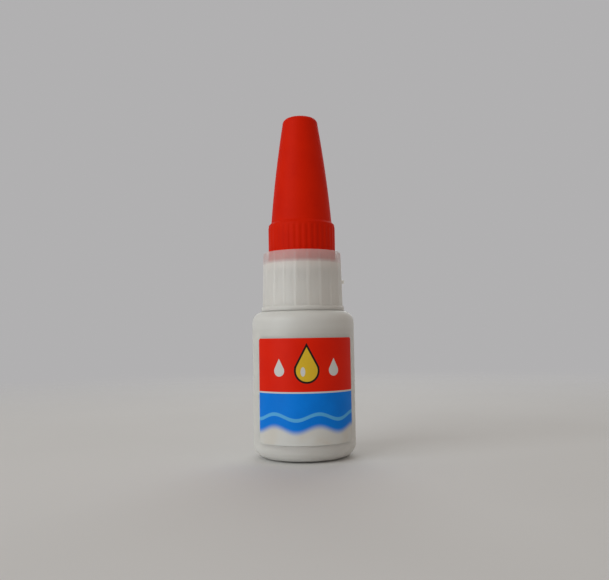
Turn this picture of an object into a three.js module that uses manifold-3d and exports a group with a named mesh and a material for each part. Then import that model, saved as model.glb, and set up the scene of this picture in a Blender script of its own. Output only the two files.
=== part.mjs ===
// A small squeeze bottle of adhesive: round body, ribbed screw-on nozzle, tall pointed screw cap.
// Millimetres, +Z up along the bottle's axis, label towards -Y, origin at the centre of the base.
import * as THREE from "three";
import { mergeVertices } from "three/addons/utils/BufferGeometryUtils.js";
import Module from "manifold-3d";

// Bottle
const BODY_RADIUS = 12.5;
const BODY_HEIGHT = 35.3;
const BODY_WALL = 1.0;
const HEEL_RADIUS = 3.0;
const SHOULDER_RADIUS = 2.6;
const STAND_RING_WIDTH = 2.0;
const STAND_PADS = 4;
const STAND_PAD_WIDTH = 2.4;
const STAND_PAD_HEIGHT = 0.25;
const STAND_PAD_INSET = 0.2;
const PUSH_UP_DEPTH = 1.2;
const NECK_RADIUS = 7.6;
const NECK_HEIGHT = 9.2;
const NECK_WALL = 1.1;
const MOUTH_CHAMFER = 0.3;

// Adhesive
const FILL_HEADROOM = 1.7;
const FILL_GAP = 0.1;

// Label
const LABEL_WIDTH = 26.4;
const LABEL_FOOT_MARGIN = 1.05;
const LABEL_TOP_MARGIN = 3.8;
const LABEL_CORNER = 1.0;
const LABEL_THICKNESS = 0.12;
const LABEL_GAP = 0.06;
const LABEL_TURN = THREE.MathUtils.degToRad(3.4);

// Seal between the bottle's mouth and the nozzle
const SEAL_THICKNESS = 0.8;
const SEAT_GAP = 0.1;

// Nozzle: screw collar, plug, cap guard, cap post and spout in one moulding
const THREAD_ROOM = 1.0;
const COLLAR_WALL = 1.2;
const COLLAR_FOOT_GAP = 0.3;
const COLLAR_EDGE = 0.25;
const FOOT_RING_STEP = 0.4;
const FOOT_RING_HEIGHT = 1.1;
const COLLAR_RIBS = 20;
const COLLAR_RIB_WIDTH = 0.9;
const COLLAR_RIB_HEIGHT = 0.25;
const DECK_THICKNESS = 1.2;
const GUARD_WALL = 0.8;
const GUARD_HEIGHT = 3.4;
const GUARD_GAP = 0.3;
const PLUG_LENGTH = 3.0;
const PLUG_WALL = 1.4;
const PLUG_GAP = 0.2;
const PLUG_CHAMFER = 0.4;
const POST_WALL = 1.3;
const POST_HEIGHT = 6.8;
const POST_CHAMFER = 1.3;
const SPOUT_STEP = 1.6;
const SPOUT_WALL = 1.3;
const SPOUT_LENGTH = 26.3;
const SPOUT_TIP_WALL = 0.7;
const SPOUT_TIP_EDGE = 0.3;
const GATE_NIB_RADIUS = 0.5;
const GATE_NIB_HEIGHT = 0.6;
const GATE_NIB_DROP = 3.0;

// Cap
const CAP_SEAT_GAP = 0.3;
const CAP_WALL = 1.1;
const SKIRT_WALL = 1.0;
const SKIRT_HEIGHT = 9.9;
const SKIRT_CHAMFER = 0.65;
const SKIRT_RIBS = 36;
const SKIRT_RIB_WIDTH = 0.7;
const SKIRT_RIB_HEIGHT = 0.18;
const SKIRT_RIB_INSET = 0.5;
const CONE_TIP_RADIUS = 4.45;
const CONE_BELLY = 0.49;
const CROWN_HEIGHT = 1.75;
const CROWN_FLAT_RADIUS = 2.2;
const CROWN_WALL = 1.6;
const BOSS_WALL = 0.85;
const BOSS_LENGTH = 2.3;
const BOSS_GAP = 0.3;

// Steel pin that keeps the spout's bore open
const PIN_RADIUS = 0.4;
const PIN_LENGTH = 10.5;
const PIN_POINT = 0.8;
const PIN_HOLE_GAP = 0.06;
const PIN_BORE_GAP = 0.2;
const PIN_HEADROOM = 0.9;

// Facets, and how deep a rib or a pad is rooted in its wall
const ROUND_SIDES = 60;
const PIN_SIDES = 16;
const ARC_STEPS = 3;
const RIB_ROOT = 0.3;

// Heights where the pieces meet: the nozzle's run from the mouth, the cap's from its own foot
const HEEL_Z = STAND_PAD_HEIGHT + HEEL_RADIUS;
const FLOOR_Z = STAND_PAD_HEIGHT + BODY_WALL;
const MOUTH_Z = BODY_HEIGHT + NECK_HEIGHT;
const SHOULDER_FOOT_Z = BODY_HEIGHT - SHOULDER_RADIUS;
const NOZZLE_Z = SEAT_GAP + SEAL_THICKNESS + SEAT_GAP;
const SPOUT_ROOT_Z = DECK_THICKNESS + POST_HEIGHT;
const SPOUT_TIP_Z = SPOUT_ROOT_Z + SPOUT_LENGTH;
const CAP_Z = NOZZLE_Z + DECK_THICKNESS + CAP_SEAT_GAP;
const BOSS_FOOT_Z = NOZZLE_Z + SPOUT_TIP_Z + BOSS_GAP - CAP_Z;
const ROOF_Z = BOSS_FOOT_Z + BOSS_LENGTH;
const CAP_TOP_Z = ROOF_Z + CROWN_WALL;
const PIN_HOLE_TOP_Z = CAP_TOP_Z - PIN_HEADROOM;

// Radii, from the bottle's neck outwards and inwards
const HEEL_CENTRE = BODY_RADIUS - HEEL_RADIUS;
const PUSH_UP_RADIUS = HEEL_CENTRE - STAND_RING_WIDTH;
const COLLAR_BORE = NECK_RADIUS + THREAD_ROOM;
const MOUTH_BORE = NECK_RADIUS - NECK_WALL;
const PLUG_RADIUS = MOUTH_BORE - PLUG_GAP;
const THROAT_RADIUS = PLUG_RADIUS - PLUG_WALL;
const POST_RADIUS = THROAT_RADIUS + POST_WALL;
const SKIRT_BORE = POST_RADIUS + THREAD_ROOM;
const SKIRT_RADIUS = SKIRT_BORE + SKIRT_WALL;
const GUARD_BORE = SKIRT_RADIUS + SKIRT_RIB_HEIGHT + GUARD_GAP;

const wasm = await Module();
wasm.setup();

// A closed three.js geometry as a solid that can be joined and cut.
function solid(geometry) {
  const bare = new THREE.BufferGeometry();
  bare.setAttribute("position", geometry.getAttribute("position"));
  bare.setIndex(geometry.getIndex());
  const merged = mergeVertices(bare, 1e-4);
  return new wasm.Manifold(
    new wasm.Mesh({
      numProp: 3,
      vertProperties: merged.getAttribute("position").array,
      triVerts: new Uint32Array(merged.getIndex().array),
    }),
  );
}

// The finished solid as a three.js geometry.
function geometryOf(body) {
  const { vertProperties, triVerts } = body.getMesh();
  const geometry = new THREE.BufferGeometry();
  geometry.setAttribute("position", new THREE.BufferAttribute(vertProperties, 3));
  geometry.setIndex(new THREE.BufferAttribute(triVerts, 1));
  geometry.computeVertexNormals();
  return geometry;
}

function namedMesh(name, geometry, color, roughness, metalness = 0) {
  const material = new THREE.MeshStandardMaterial({ color, roughness, metalness });
  const mesh = new THREE.Mesh(geometry, material);
  mesh.name = name;
  return mesh;
}

// A body of revolution about +Z. The path runs in radius and height.
function revolve(path, sides = ROUND_SIDES) {
  return new THREE.LatheGeometry(path.getPoints(ARC_STEPS), sides).rotateX(Math.PI / 2);
}

// Straight ribs set evenly round a wall whose radius runs from the foot's to the top's.
function addRibs(body, { count, width, height, foot, top }) {
  const side = new THREE.Shape([
    new THREE.Vector2(foot.radius - RIB_ROOT, foot.z),
    new THREE.Vector2(foot.radius + height, foot.z),
    new THREE.Vector2(top.radius + height, top.z - height),
    new THREE.Vector2(top.radius - RIB_ROOT, top.z),
  ]);
  const bar = new THREE.ExtrudeGeometry(side, { depth: width, bevelEnabled: false });
  bar.translate(0, 0, -width / 2).rotateX(Math.PI / 2);
  const pitch = (2 * Math.PI) / count;
  let ribbed = body;
  for (let i = 0; i < count; i++) {
    ribbed = ribbed.add(solid(bar.clone().rotateZ((i + 0.5) * pitch)));
  }
  return ribbed;
}

// Blow-moulded bottle: heel, straight wall, rounded shoulder and plain neck round one open cavity,
// standing on low pads under the ring round its base.
function bottleBody() {
  const wallBore = BODY_RADIUS - BODY_WALL;
  const shoulderCentre = BODY_RADIUS - SHOULDER_RADIUS;
  const ceiling = BODY_HEIGHT - BODY_WALL;
  const domeFoot = STAND_PAD_HEIGHT + PUSH_UP_DEPTH;
  const domeTop = FLOOR_Z + PUSH_UP_DEPTH;
  const path = new THREE.Path()
    .moveTo(0, domeFoot)
    .quadraticCurveTo(PUSH_UP_RADIUS / 2, domeFoot, PUSH_UP_RADIUS, STAND_PAD_HEIGHT)
    .lineTo(HEEL_CENTRE, STAND_PAD_HEIGHT)
    .absarc(HEEL_CENTRE, HEEL_Z, HEEL_RADIUS, -Math.PI / 2, 0)
    .lineTo(BODY_RADIUS, SHOULDER_FOOT_Z)
    .absarc(shoulderCentre, SHOULDER_FOOT_Z, SHOULDER_RADIUS, 0, Math.PI / 2)
    .lineTo(NECK_RADIUS, BODY_HEIGHT)
    .lineTo(NECK_RADIUS, MOUTH_Z - MOUTH_CHAMFER)
    .lineTo(NECK_RADIUS - MOUTH_CHAMFER, MOUTH_Z)
    .lineTo(MOUTH_BORE, MOUTH_Z)
    .lineTo(MOUTH_BORE, ceiling)
    .lineTo(shoulderCentre, ceiling)
    .absarc(shoulderCentre, SHOULDER_FOOT_Z, SHOULDER_RADIUS - BODY_WALL, Math.PI / 2, 0, true)
    .lineTo(wallBore, HEEL_Z)
    .absarc(HEEL_CENTRE, HEEL_Z, HEEL_RADIUS - BODY_WALL, 0, -Math.PI / 2, true)
    .lineTo(PUSH_UP_RADIUS, FLOOR_Z)
    .quadraticCurveTo(PUSH_UP_RADIUS / 2, domeTop, 0, domeTop);

  const padLength = STAND_RING_WIDTH - 2 * STAND_PAD_INSET;
  const padDepth = STAND_PAD_HEIGHT + RIB_ROOT;
  const pad = new THREE.BoxGeometry(padLength, STAND_PAD_WIDTH, padDepth);
  pad.translate(HEEL_CENTRE - STAND_RING_WIDTH / 2, 0, padDepth / 2);
  const pitch = (2 * Math.PI) / STAND_PADS;
  let standing = solid(revolve(path));
  for (let i = 0; i < STAND_PADS; i++) {
    standing = standing.add(solid(pad.clone().rotateZ((i + 0.5) * pitch)));
  }
  return namedMesh("bottle_body", geometryOf(standing), 0xe4e5dd, 0.42);
}

// The liquid, as a plain body that stands just clear of the bottle's inner wall.
function adhesiveFill() {
  const level = SHOULDER_FOOT_Z - FILL_HEADROOM;
  const skin = BODY_WALL + FILL_GAP;
  const floor = FLOOR_Z + FILL_GAP;
  const domeTop = PUSH_UP_DEPTH + floor;
  const path = new THREE.Path()
    .moveTo(0, domeTop)
    .quadraticCurveTo(PUSH_UP_RADIUS / 2, domeTop, PUSH_UP_RADIUS, floor)
    .lineTo(HEEL_CENTRE, floor)
    .absarc(HEEL_CENTRE, HEEL_Z, HEEL_RADIUS - skin, -Math.PI / 2, 0)
    .lineTo(BODY_RADIUS - skin, level)
    .lineTo(0, level);
  return namedMesh("adhesive_fill", revolve(path), 0xe9ead9, 0.1);
}

// Film label: a curved sheet round the front, trimmed to a rectangle with rounded corners.
function frontLabel() {
  const foot = HEEL_Z + LABEL_FOOT_MARGIN;
  const height = SHOULDER_FOOT_Z - LABEL_TOP_MARGIN - foot;
  const inner = BODY_RADIUS + LABEL_GAP;
  const outer = inner + LABEL_THICKNESS;
  const half = LABEL_WIDTH / 2 / inner;
  const reach = half + LABEL_CORNER / inner;
  const front = -Math.PI / 2;
  const ring = new THREE.Shape()
    .absarc(0, 0, outer, front - reach, front + reach)
    .absarc(0, 0, inner, front + reach, front - reach, true);
  const sheet = new THREE.ExtrudeGeometry(ring, {
    depth: height,
    bevelEnabled: false,
    curveSegments: ROUND_SIDES / 6,
  });

  const cornerX = LABEL_CORNER * Math.cos(half);
  const centreX = inner * Math.sin(half) - cornerX;
  const topZ = height - LABEL_CORNER;
  const corners = [
    [centreX, LABEL_CORNER],
    [centreX, topZ],
    [-centreX, topZ],
    [-centreX, LABEL_CORNER],
  ];
  const quarter = Math.PI / 2;
  const outline = new THREE.Shape();
  corners.forEach(([x, z], i) => {
    outline.absellipse(x, z, cornerX, LABEL_CORNER, (i - 1) * quarter, i * quarter, false, 0);
  });
  const trim = new THREE.ExtrudeGeometry(outline, {
    depth: 2 * outer,
    bevelEnabled: false,
    curveSegments: ARC_STEPS,
  }).rotateX(Math.PI / 2);

  const film = geometryOf(solid(sheet).intersect(solid(trim)));
  const mesh = namedMesh("front_label", film, 0xc5281c, 0.35);
  mesh.position.z = foot;
  mesh.rotation.z = LABEL_TURN;
  return mesh;
}

// Flat ring of soft plastic that the nozzle's deck presses on the bottle's mouth.
function neckSeal() {
  const inner = PLUG_RADIUS + SEAT_GAP;
  const path = new THREE.Path()
    .moveTo(inner, 0)
    .lineTo(NECK_RADIUS, 0)
    .lineTo(NECK_RADIUS, SEAL_THICKNESS)
    .lineTo(inner, SEAL_THICKNESS)
    .lineTo(inner, 0);
  const mesh = namedMesh("neck_seal", revolve(path), 0xdad9d0, 0.8);
  mesh.position.z = SEAT_GAP;
  return mesh;
}

// Nozzle, with its own zero height at the underside of the deck.
function nozzle() {
  const collarFootZ = BODY_HEIGHT + COLLAR_FOOT_GAP - MOUTH_Z - NOZZLE_Z;
  const collarFoot = COLLAR_BORE + COLLAR_WALL;
  const ring = collarFoot + FOOT_RING_STEP;
  const ringTopZ = collarFootZ + FOOT_RING_HEIGHT;
  const guard = GUARD_BORE + GUARD_WALL;
  const guardTopZ = DECK_THICKNESS + GUARD_HEIGHT;
  const spoutRoot = POST_RADIUS - SPOUT_STEP;
  const tipBore = PIN_RADIUS + PIN_BORE_GAP;
  const tip = tipBore + SPOUT_TIP_WALL;
  const path = new THREE.Path()
    .moveTo(COLLAR_BORE, collarFootZ)
    .lineTo(ring, collarFootZ)
    .lineTo(ring, ringTopZ - COLLAR_EDGE)
    .lineTo(ring - COLLAR_EDGE, ringTopZ)
    .lineTo(collarFoot, ringTopZ)
    .lineTo(guard, guardTopZ - COLLAR_EDGE)
    .lineTo(guard - COLLAR_EDGE, guardTopZ)
    .lineTo(GUARD_BORE, guardTopZ)
    .lineTo(GUARD_BORE, DECK_THICKNESS)
    .lineTo(POST_RADIUS, DECK_THICKNESS)
    .lineTo(POST_RADIUS, SPOUT_ROOT_Z - POST_CHAMFER)
    .lineTo(spoutRoot, SPOUT_ROOT_Z)
    .lineTo(tip, SPOUT_TIP_Z - SPOUT_TIP_EDGE)
    .lineTo(tip - SPOUT_TIP_EDGE, SPOUT_TIP_Z)
    .lineTo(tipBore, SPOUT_TIP_Z)
    .lineTo(spoutRoot - SPOUT_WALL, SPOUT_ROOT_Z)
    .lineTo(THROAT_RADIUS, SPOUT_ROOT_Z - POST_CHAMFER - SPOUT_WALL)
    .lineTo(THROAT_RADIUS, -PLUG_LENGTH)
    .lineTo(PLUG_RADIUS - PLUG_CHAMFER, -PLUG_LENGTH)
    .lineTo(PLUG_RADIUS, PLUG_CHAMFER - PLUG_LENGTH)
    .lineTo(PLUG_RADIUS, 0)
    .lineTo(COLLAR_BORE, 0)
    .lineTo(COLLAR_BORE, collarFootZ);

  const ribbed = addRibs(solid(revolve(path)), {
    count: COLLAR_RIBS,
    width: COLLAR_RIB_WIDTH,
    height: COLLAR_RIB_HEIGHT,
    foot: { radius: collarFoot, z: ringTopZ - RIB_ROOT },
    top: { radius: guard, z: guardTopZ - COLLAR_EDGE },
  });

  // Stub of the moulding gate, on the side towards +X
  const nibFoot = COLLAR_BORE + RIB_ROOT;
  const nibTop = collarFoot + GATE_NIB_HEIGHT;
  const nib = new THREE.CylinderGeometry(
    GATE_NIB_RADIUS,
    GATE_NIB_RADIUS,
    nibTop - nibFoot,
    PIN_SIDES,
  );
  nib.rotateZ(Math.PI / 2).translate((nibFoot + nibTop) / 2, 0, -GATE_NIB_DROP);

  const mesh = namedMesh("nozzle", geometryOf(ribbed.add(solid(nib))), 0xdedfd8, 0.45);
  mesh.position.z = NOZZLE_Z;
  return mesh;
}

// Cap: ribbed skirt, bellied cone and rounded crown, hollow, with a boss for the pin.
function cap() {
  const coneRoot = SKIRT_RADIUS - SKIRT_CHAMFER;
  const coneFootZ = SKIRT_HEIGHT + SKIRT_CHAMFER;
  const coneTopZ = CAP_TOP_Z - CROWN_HEIGHT;
  const belly = (coneRoot + CONE_TIP_RADIUS) / 2 + CONE_BELLY;
  const bellyZ = (coneFootZ + coneTopZ) / 2;
  const pinHole = PIN_RADIUS + PIN_HOLE_GAP;
  const boss = pinHole + BOSS_WALL;
  const path = new THREE.Path()
    .moveTo(0, PIN_HOLE_TOP_Z)
    .lineTo(pinHole, PIN_HOLE_TOP_Z)
    .lineTo(pinHole, BOSS_FOOT_Z)
    .lineTo(boss, BOSS_FOOT_Z)
    .lineTo(boss, ROOF_Z)
    .lineTo(CONE_TIP_RADIUS - CAP_WALL, ROOF_Z)
    .quadraticCurveTo(belly - CAP_WALL, bellyZ, coneRoot - CAP_WALL, coneFootZ)
    .lineTo(SKIRT_BORE, coneFootZ - CAP_WALL)
    .lineTo(SKIRT_BORE, 0)
    .lineTo(SKIRT_RADIUS, 0)
    .lineTo(SKIRT_RADIUS, SKIRT_HEIGHT)
    .lineTo(coneRoot, coneFootZ)
    .quadraticCurveTo(belly, bellyZ, CONE_TIP_RADIUS, coneTopZ)
    .quadraticCurveTo(CONE_TIP_RADIUS, CAP_TOP_Z, CROWN_FLAT_RADIUS, CAP_TOP_Z)
    .lineTo(0, CAP_TOP_Z);

  const ribbed = addRibs(solid(revolve(path)), {
    count: SKIRT_RIBS,
    width: SKIRT_RIB_WIDTH,
    height: SKIRT_RIB_HEIGHT,
    foot: { radius: SKIRT_RADIUS, z: SKIRT_RIB_INSET },
    top: { radius: SKIRT_RADIUS, z: SKIRT_HEIGHT - SKIRT_RIB_INSET },
  });
  return namedMesh("cap", geometryOf(ribbed), 0xc81f12, 0.4);
}

// Pointed steel pin, held in the cap's boss and reaching down into the spout's bore.
function capPin() {
  const path = new THREE.Path()
    .moveTo(0, 0)
    .lineTo(PIN_RADIUS, PIN_POINT)
    .lineTo(PIN_RADIUS, PIN_LENGTH)
    .lineTo(0, PIN_LENGTH);
  const mesh = namedMesh("cap_pin", revolve(path, PIN_SIDES), 0xb9bcc0, 0.28, 1);
  mesh.position.z = PIN_HOLE_TOP_Z - PIN_HOLE_GAP - PIN_LENGTH;
  return mesh;
}

// The cap and its pin screw onto the nozzle, and the nozzle onto the bottle's neck.
const capGroup = new THREE.Group();
capGroup.position.z = CAP_Z;
capGroup.add(cap(), capPin());

const closure = new THREE.Group();
closure.position.z = MOUTH_Z;
closure.add(neckSeal(), nozzle(), capGroup);

const bottle = new THREE.Group();
bottle.add(bottleBody(), adhesiveFill(), frontLabel(), closure);

export default bottle;
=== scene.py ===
# A small squeeze bottle of adhesive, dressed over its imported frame.
# Metres, +Z up along the bottle's axis, label towards -Y.
import math

import bpy
from mathutils import Matrix, Vector


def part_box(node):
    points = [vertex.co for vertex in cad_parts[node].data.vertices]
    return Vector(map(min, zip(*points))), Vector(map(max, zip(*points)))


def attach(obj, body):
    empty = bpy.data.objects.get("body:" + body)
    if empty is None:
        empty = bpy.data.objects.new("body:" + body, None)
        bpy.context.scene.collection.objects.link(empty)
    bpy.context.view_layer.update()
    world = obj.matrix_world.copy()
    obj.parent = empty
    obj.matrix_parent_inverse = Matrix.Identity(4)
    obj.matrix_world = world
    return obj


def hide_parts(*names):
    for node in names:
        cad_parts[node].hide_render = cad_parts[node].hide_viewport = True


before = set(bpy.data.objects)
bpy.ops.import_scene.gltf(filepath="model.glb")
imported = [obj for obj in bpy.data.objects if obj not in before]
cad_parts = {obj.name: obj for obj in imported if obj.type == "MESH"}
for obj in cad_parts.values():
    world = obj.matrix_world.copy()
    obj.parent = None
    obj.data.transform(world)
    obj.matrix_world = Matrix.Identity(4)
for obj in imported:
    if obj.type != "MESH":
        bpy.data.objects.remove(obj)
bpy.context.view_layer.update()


# Bottle: blown in one piece from natural polyethylene, which leaves it milky and a little waxy.
# Its wall is about a millimetre thick, its base is pushed up inside a ring with four low pads
# to stand on, and its neck has a right-hand thread for the nozzle's collar.
BODY_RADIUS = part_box("bottle_body")[1].x
MOUTH_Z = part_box("bottle_body")[1].z
FILL_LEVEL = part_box("adhesive_fill")[1].z
BODY_HEIGHT = 0.0353
BODY_WALL = 0.0010
WALL_BORE = BODY_RADIUS - BODY_WALL
CEILING_Z = BODY_HEIGHT - BODY_WALL
HEEL_ROUND = 0.0030
SHOULDER_ROUND = 0.0026
STAND_RING_WIDTH = 0.0020
STAND_RING_ROUND = 0.0005
PUSH_UP_RADIUS = BODY_RADIUS - HEEL_ROUND - STAND_RING_WIDTH
PUSH_UP_DEPTH = 0.0012
PUSH_UP_ROUND = 0.023
STAND_PADS = 4
STAND_PAD_WIDTH = 0.0022
STAND_PAD_HEIGHT = 0.00025
STAND_PAD_INSET = 0.0003
STAND_PAD_EDGE = 0.0001
STAND_PAD_ROWS = 4
STAND_PAD_ROOM = 0.0005
PAD_INNER = PUSH_UP_RADIUS + STAND_PAD_INSET
PAD_OUTER = PUSH_UP_RADIUS + STAND_RING_WIDTH - STAND_PAD_INSET
RING_Z = STAND_PAD_HEIGHT
BOTTOM_Z = RING_Z + BODY_WALL
NECK_RADIUS = 0.0076
NECK_WALL = 0.0011
MOUTH_BORE = NECK_RADIUS - NECK_WALL
MOUTH_ROUND = 0.00025
NECK_THREAD_PITCH = 0.0030
NECK_THREAD_HEIGHT = 0.0007
NECK_THREAD_FOOT = BODY_HEIGHT + 0.0010
NECK_THREAD_TOP = MOUTH_Z - 0.0006
NECK_THREAD_ROWS = 44
BOTTLE_SIDES = 192
BOTTLE_PALE = (0.77, 0.765, 0.725)
BOTTLE_DEEP = (0.72, 0.71, 0.66)
BOTTLE_GLOW = 0.0045
CLOUD_SHARE = 0.45
LEVEL_BLUR = 0.0005
SEAM_WIDTH = 0.00016


class Field:
    """A socket of a node tree. Arithmetic on it adds Math nodes to that tree."""

    def __init__(self, tree, socket):
        self.tree = tree
        self.socket = socket

    def out(self, name):
        """Another output of the same node."""
        return Field(self.tree, self.socket.node.outputs[name])

    def math(self, operation, *others):
        terms = dict(enumerate((self, *others)))
        return self.tree.add("ShaderNodeMath", {"operation": operation}, terms)

    def __add__(self, other):
        return self.math("ADD", other)

    def __mul__(self, other):
        return self.math("MULTIPLY", other)

    def __sub__(self, other):
        return self.math("SUBTRACT", other)

    def __truediv__(self, other):
        return self.math("DIVIDE", other)

    def __rsub__(self, other):
        return self * -1 + other

    __radd__ = __add__
    __rmul__ = __mul__

    def least(self, other):
        return self.math("MINIMUM", other)

    def most(self, other):
        return self.math("MAXIMUM", other)

    def size(self):
        return self.math("ABSOLUTE")

    def step(self, start, end):
        """0 at start, 1 at end, with a smooth rise between them."""
        ends = {"Value": self, "From Min": start, "From Max": end}
        return self.tree.add("ShaderNodeMapRange", {"interpolation_type": "SMOOTHSTEP"}, ends)


class Tree:
    """A node tree under construction."""

    def __init__(self, tree):
        self.tree = tree

    def add(self, kind, settings=None, sockets=None, output=0):
        """A new node: its settings come first, then its sockets' values or links."""
        node = self.tree.nodes.new(kind)
        for name, value in (settings or {}).items():
            setattr(node, name, value)
        for name, value in (sockets or {}).items():
            if isinstance(value, Field):
                self.tree.links.new(value.socket, node.inputs[name])
            else:
                node.inputs[name].default_value = value
        return Field(self, node.outputs[output]) if node.outputs else node

    def mix(self, share, first, second):
        """A colour between two colours. The node's colour sockets are its inputs 6 and 7, output 2."""
        ends = {0: share, 6: as_colour(first), 7: as_colour(second)}
        return self.add("ShaderNodeMix", {"data_type": "RGBA"}, ends, 2)


def as_colour(value):
    return value if isinstance(value, Field) else (*value, 1)


def new_finish(name):
    """An empty material and its tree."""
    material = bpy.data.materials.new(name)
    material.use_nodes = True
    material.node_tree.nodes.clear()
    return material, Tree(material.node_tree)


def polyethylene(name, pale, deep, glow, filled_to=0, thin=None):
    """Milky polyethylene: cloudy, unevenly glossy and finely grained, with a mould seam on both sides.

    Light spreads inside it over the glow length, and it looks deeper where there is liquid behind it.
    Where the wall thins out, thin holds the height where that starts, the height where it is done,
    a painted tint that stands in for light from behind the thin wall, and how much the wall still
    covers.
    """
    material, tree = new_finish(name)
    place = tree.add("ShaderNodeTexCoord", output="Object")
    cloud = tree.add("ShaderNodeTexNoise", sockets={"Vector": place, "Scale": 110, "Detail": 3})
    grain = tree.add("ShaderNodeTexNoise", sockets={"Vector": place, "Scale": 2400, "Detail": 2})
    side = tree.add("ShaderNodeSeparateXYZ", sockets={0: place}, output="Y")
    height = side.out("Z")
    seam = side.size().step(SEAM_WIDTH, 0)
    wet = height.step(filled_to + LEVEL_BLUR, filled_to - LEVEL_BLUR)
    depth = cloud.step(0.3, 0.7) * CLOUD_SHARE + wet * (1 - CLOUD_SHARE)
    colour = tree.mix(depth, pale, deep)
    cover = 1
    if thin:
        foot, top, thin_painted_tint, least = thin
        thinned = height.step(foot, top)
        colour = tree.mix(thinned, colour, thin_painted_tint)
        cover = 1 - thinned * (1 - least)
    bumps = cloud * 0.6 + grain * 0.25 + seam * 0.5
    relief = tree.add(
        "ShaderNodeBump",
        sockets={"Strength": 0.25, "Distance": 0.0001, "Height": bumps},
        output="Normal",
    )
    surface = tree.add(
        "ShaderNodeBsdfPrincipled",
        sockets={
            "Base Color": colour,
            "Roughness": 0.36 + grain * 0.16,
            "IOR": 1.5,
            "Alpha": cover,
            "Subsurface Weight": 1.0,
            "Subsurface Radius": (0.94, 0.98, 1),
            "Subsurface Scale": glow,
            "Normal": relief,
        },
    )
    tree.add("ShaderNodeOutputMaterial", sockets={"Surface": surface})
    return material


ARC_STEPS = 5


def rounded(corners):
    """The outline through (radius, height, rounding) corners, with each rounding as an arc."""
    outline = []
    for i, (radius, height, rounding) in enumerate(corners):
        here = Vector((radius, height))
        if rounding == 0:
            outline.append(here)
            continue
        before = (Vector(corners[i - 1][:2]) - here).normalized()
        after = (Vector(corners[(i + 1) % len(corners)][:2]) - here).normalized()
        turn = math.pi - before.angle(after)
        centre = here + (before + after).normalized() * (rounding / math.cos(turn / 2))
        arm = here + before * rounding * math.tan(turn / 2) - centre
        side = 1 if before.cross(after) < 0 else -1
        for k in range(ARC_STEPS + 1):
            swing = Matrix.Rotation(side * turn * k / ARC_STEPS, 2)
            outline.append(centre + swing @ arm)
    return outline


def straight(start, end, rows):
    """Plain corners evenly spaced from start to end."""
    ends = Vector(start), Vector(end)
    return [(*ends[0].lerp(ends[1], k / rows), 0) for k in range(rows + 1)]


SNUG = 1e-5


def near(size, other):
    """Whether two sizes are the same, but for rounding."""
    return abs(size - other) < SNUG


def turned(name, corners, sides, bands=None):
    """The rounded outline swept round +Z, with the points of each named band marked."""
    outline = rounded(corners)
    points, faces, rows = [], [], []
    for radius, height in outline:
        count = sides if radius > 0 else 1
        rows.append(range(len(points), len(points) + count))
        for k in range(count):
            angle = 2 * math.pi * k / count
            points.append((radius * math.cos(angle), radius * math.sin(angle), height))
    pairs = list(zip(rows, rows[1:]))
    if outline[0][0] > 0:
        pairs.append((rows[-1], rows[0]))
    for low, high in pairs:
        for k in range(sides):
            around = (low, k), (low, k + 1), (high, k + 1), (high, k)
            face = [row[j % len(row)] for row, j in around]
            faces.append(list(dict.fromkeys(face)))
    mesh = bpy.data.meshes.new(name)
    mesh.from_pydata(points, [], faces)
    for band, holds in (bands or {}).items():
        marks = [float(holds(*spot)) for spot, row in zip(outline, rows) for _ in row]
        mesh.attributes.new(band, "FLOAT", "POINT").data.foreach_set("value", marks)
    return placed(name, mesh)


def placed(name, mesh):
    piece = bpy.data.objects.new(name, mesh)
    bpy.context.scene.collection.objects.link(piece)
    return piece


RIDGE_INPUTS = {
    "Geometry": "NodeSocketGeometry",
    "Finish": "NodeSocketMaterial",
    "Band": "NodeSocketString",
    "Count": "NodeSocketFloat",
    "Twist": "NodeSocketFloat",
    "Shift": "NodeSocketFloat",
    "Spacing": "NodeSocketFloat",
    "Width": "NodeSocketFloat",
    "Flank": "NodeSocketFloat",
    "Height": "NodeSocketFloat",
    "Foot": "NodeSocketFloat",
    "Top": "NodeSocketFloat",
    "Run-out": "NodeSocketFloat",
    "Downward": "NodeSocketFloat",
}


def ridge_nodes():
    """Ridges raised outwards or downwards on a band of a turned piece.

    With no twist they are straight ribs or pads, and with one they are a screw thread.
    """
    group = bpy.data.node_groups.new("ridges", "GeometryNodeTree")
    for name, kind in RIDGE_INPUTS.items():
        group.interface.new_socket(name=name, in_out="INPUT", socket_type=kind)
    group.interface.new_socket(name="Geometry", in_out="OUTPUT", socket_type="NodeSocketGeometry")
    tree = Tree(group)
    given = tree.add("NodeGroupInput")
    place = tree.add("GeometryNodeInputPosition")
    x = tree.add("ShaderNodeSeparateXYZ", sockets={0: place}, output="X")
    y, z = x.out("Y"), x.out("Z")
    radius = (x * x + y * y).math("SQRT").most(SNUG)
    turns = y.math("ARCTAN2", x) / (2 * math.pi)
    phase = turns * given.out("Count") - z * given.out("Twist") + given.out("Shift")
    across = (phase.math("FRACT") - 0.5).size() * given.out("Spacing")
    half = given.out("Width") / 2
    ridge = across.step(half + given.out("Flank"), half)
    run_out = given.out("Run-out")
    foot = z.step(given.out("Foot"), given.out("Foot") + run_out)
    top = z.step(given.out("Top"), given.out("Top") - run_out)
    band = tree.add("GeometryNodeInputNamedAttribute", sockets={"Name": given.out("Band")})
    rise = ridge * foot * top * band * given.out("Height")
    down = rise * given.out("Downward")
    out = (rise - down) / radius
    move = tree.add("ShaderNodeCombineXYZ", sockets={"X": x * out, "Y": y * out, "Z": down * -1})
    shape, finish = given.out("Geometry"), given.out("Finish")
    raised = tree.add("GeometryNodeSetPosition", sockets={"Geometry": shape, "Offset": move})
    whole = tree.add("GeometryNodeRealizeInstances", sockets={"Geometry": raised})
    done = tree.add("GeometryNodeSetMaterial", sockets={"Geometry": whole, "Material": finish})
    tree.add("NodeGroupOutput", sockets={"Geometry": done})
    return group


RIDGES = ridge_nodes()


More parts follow.
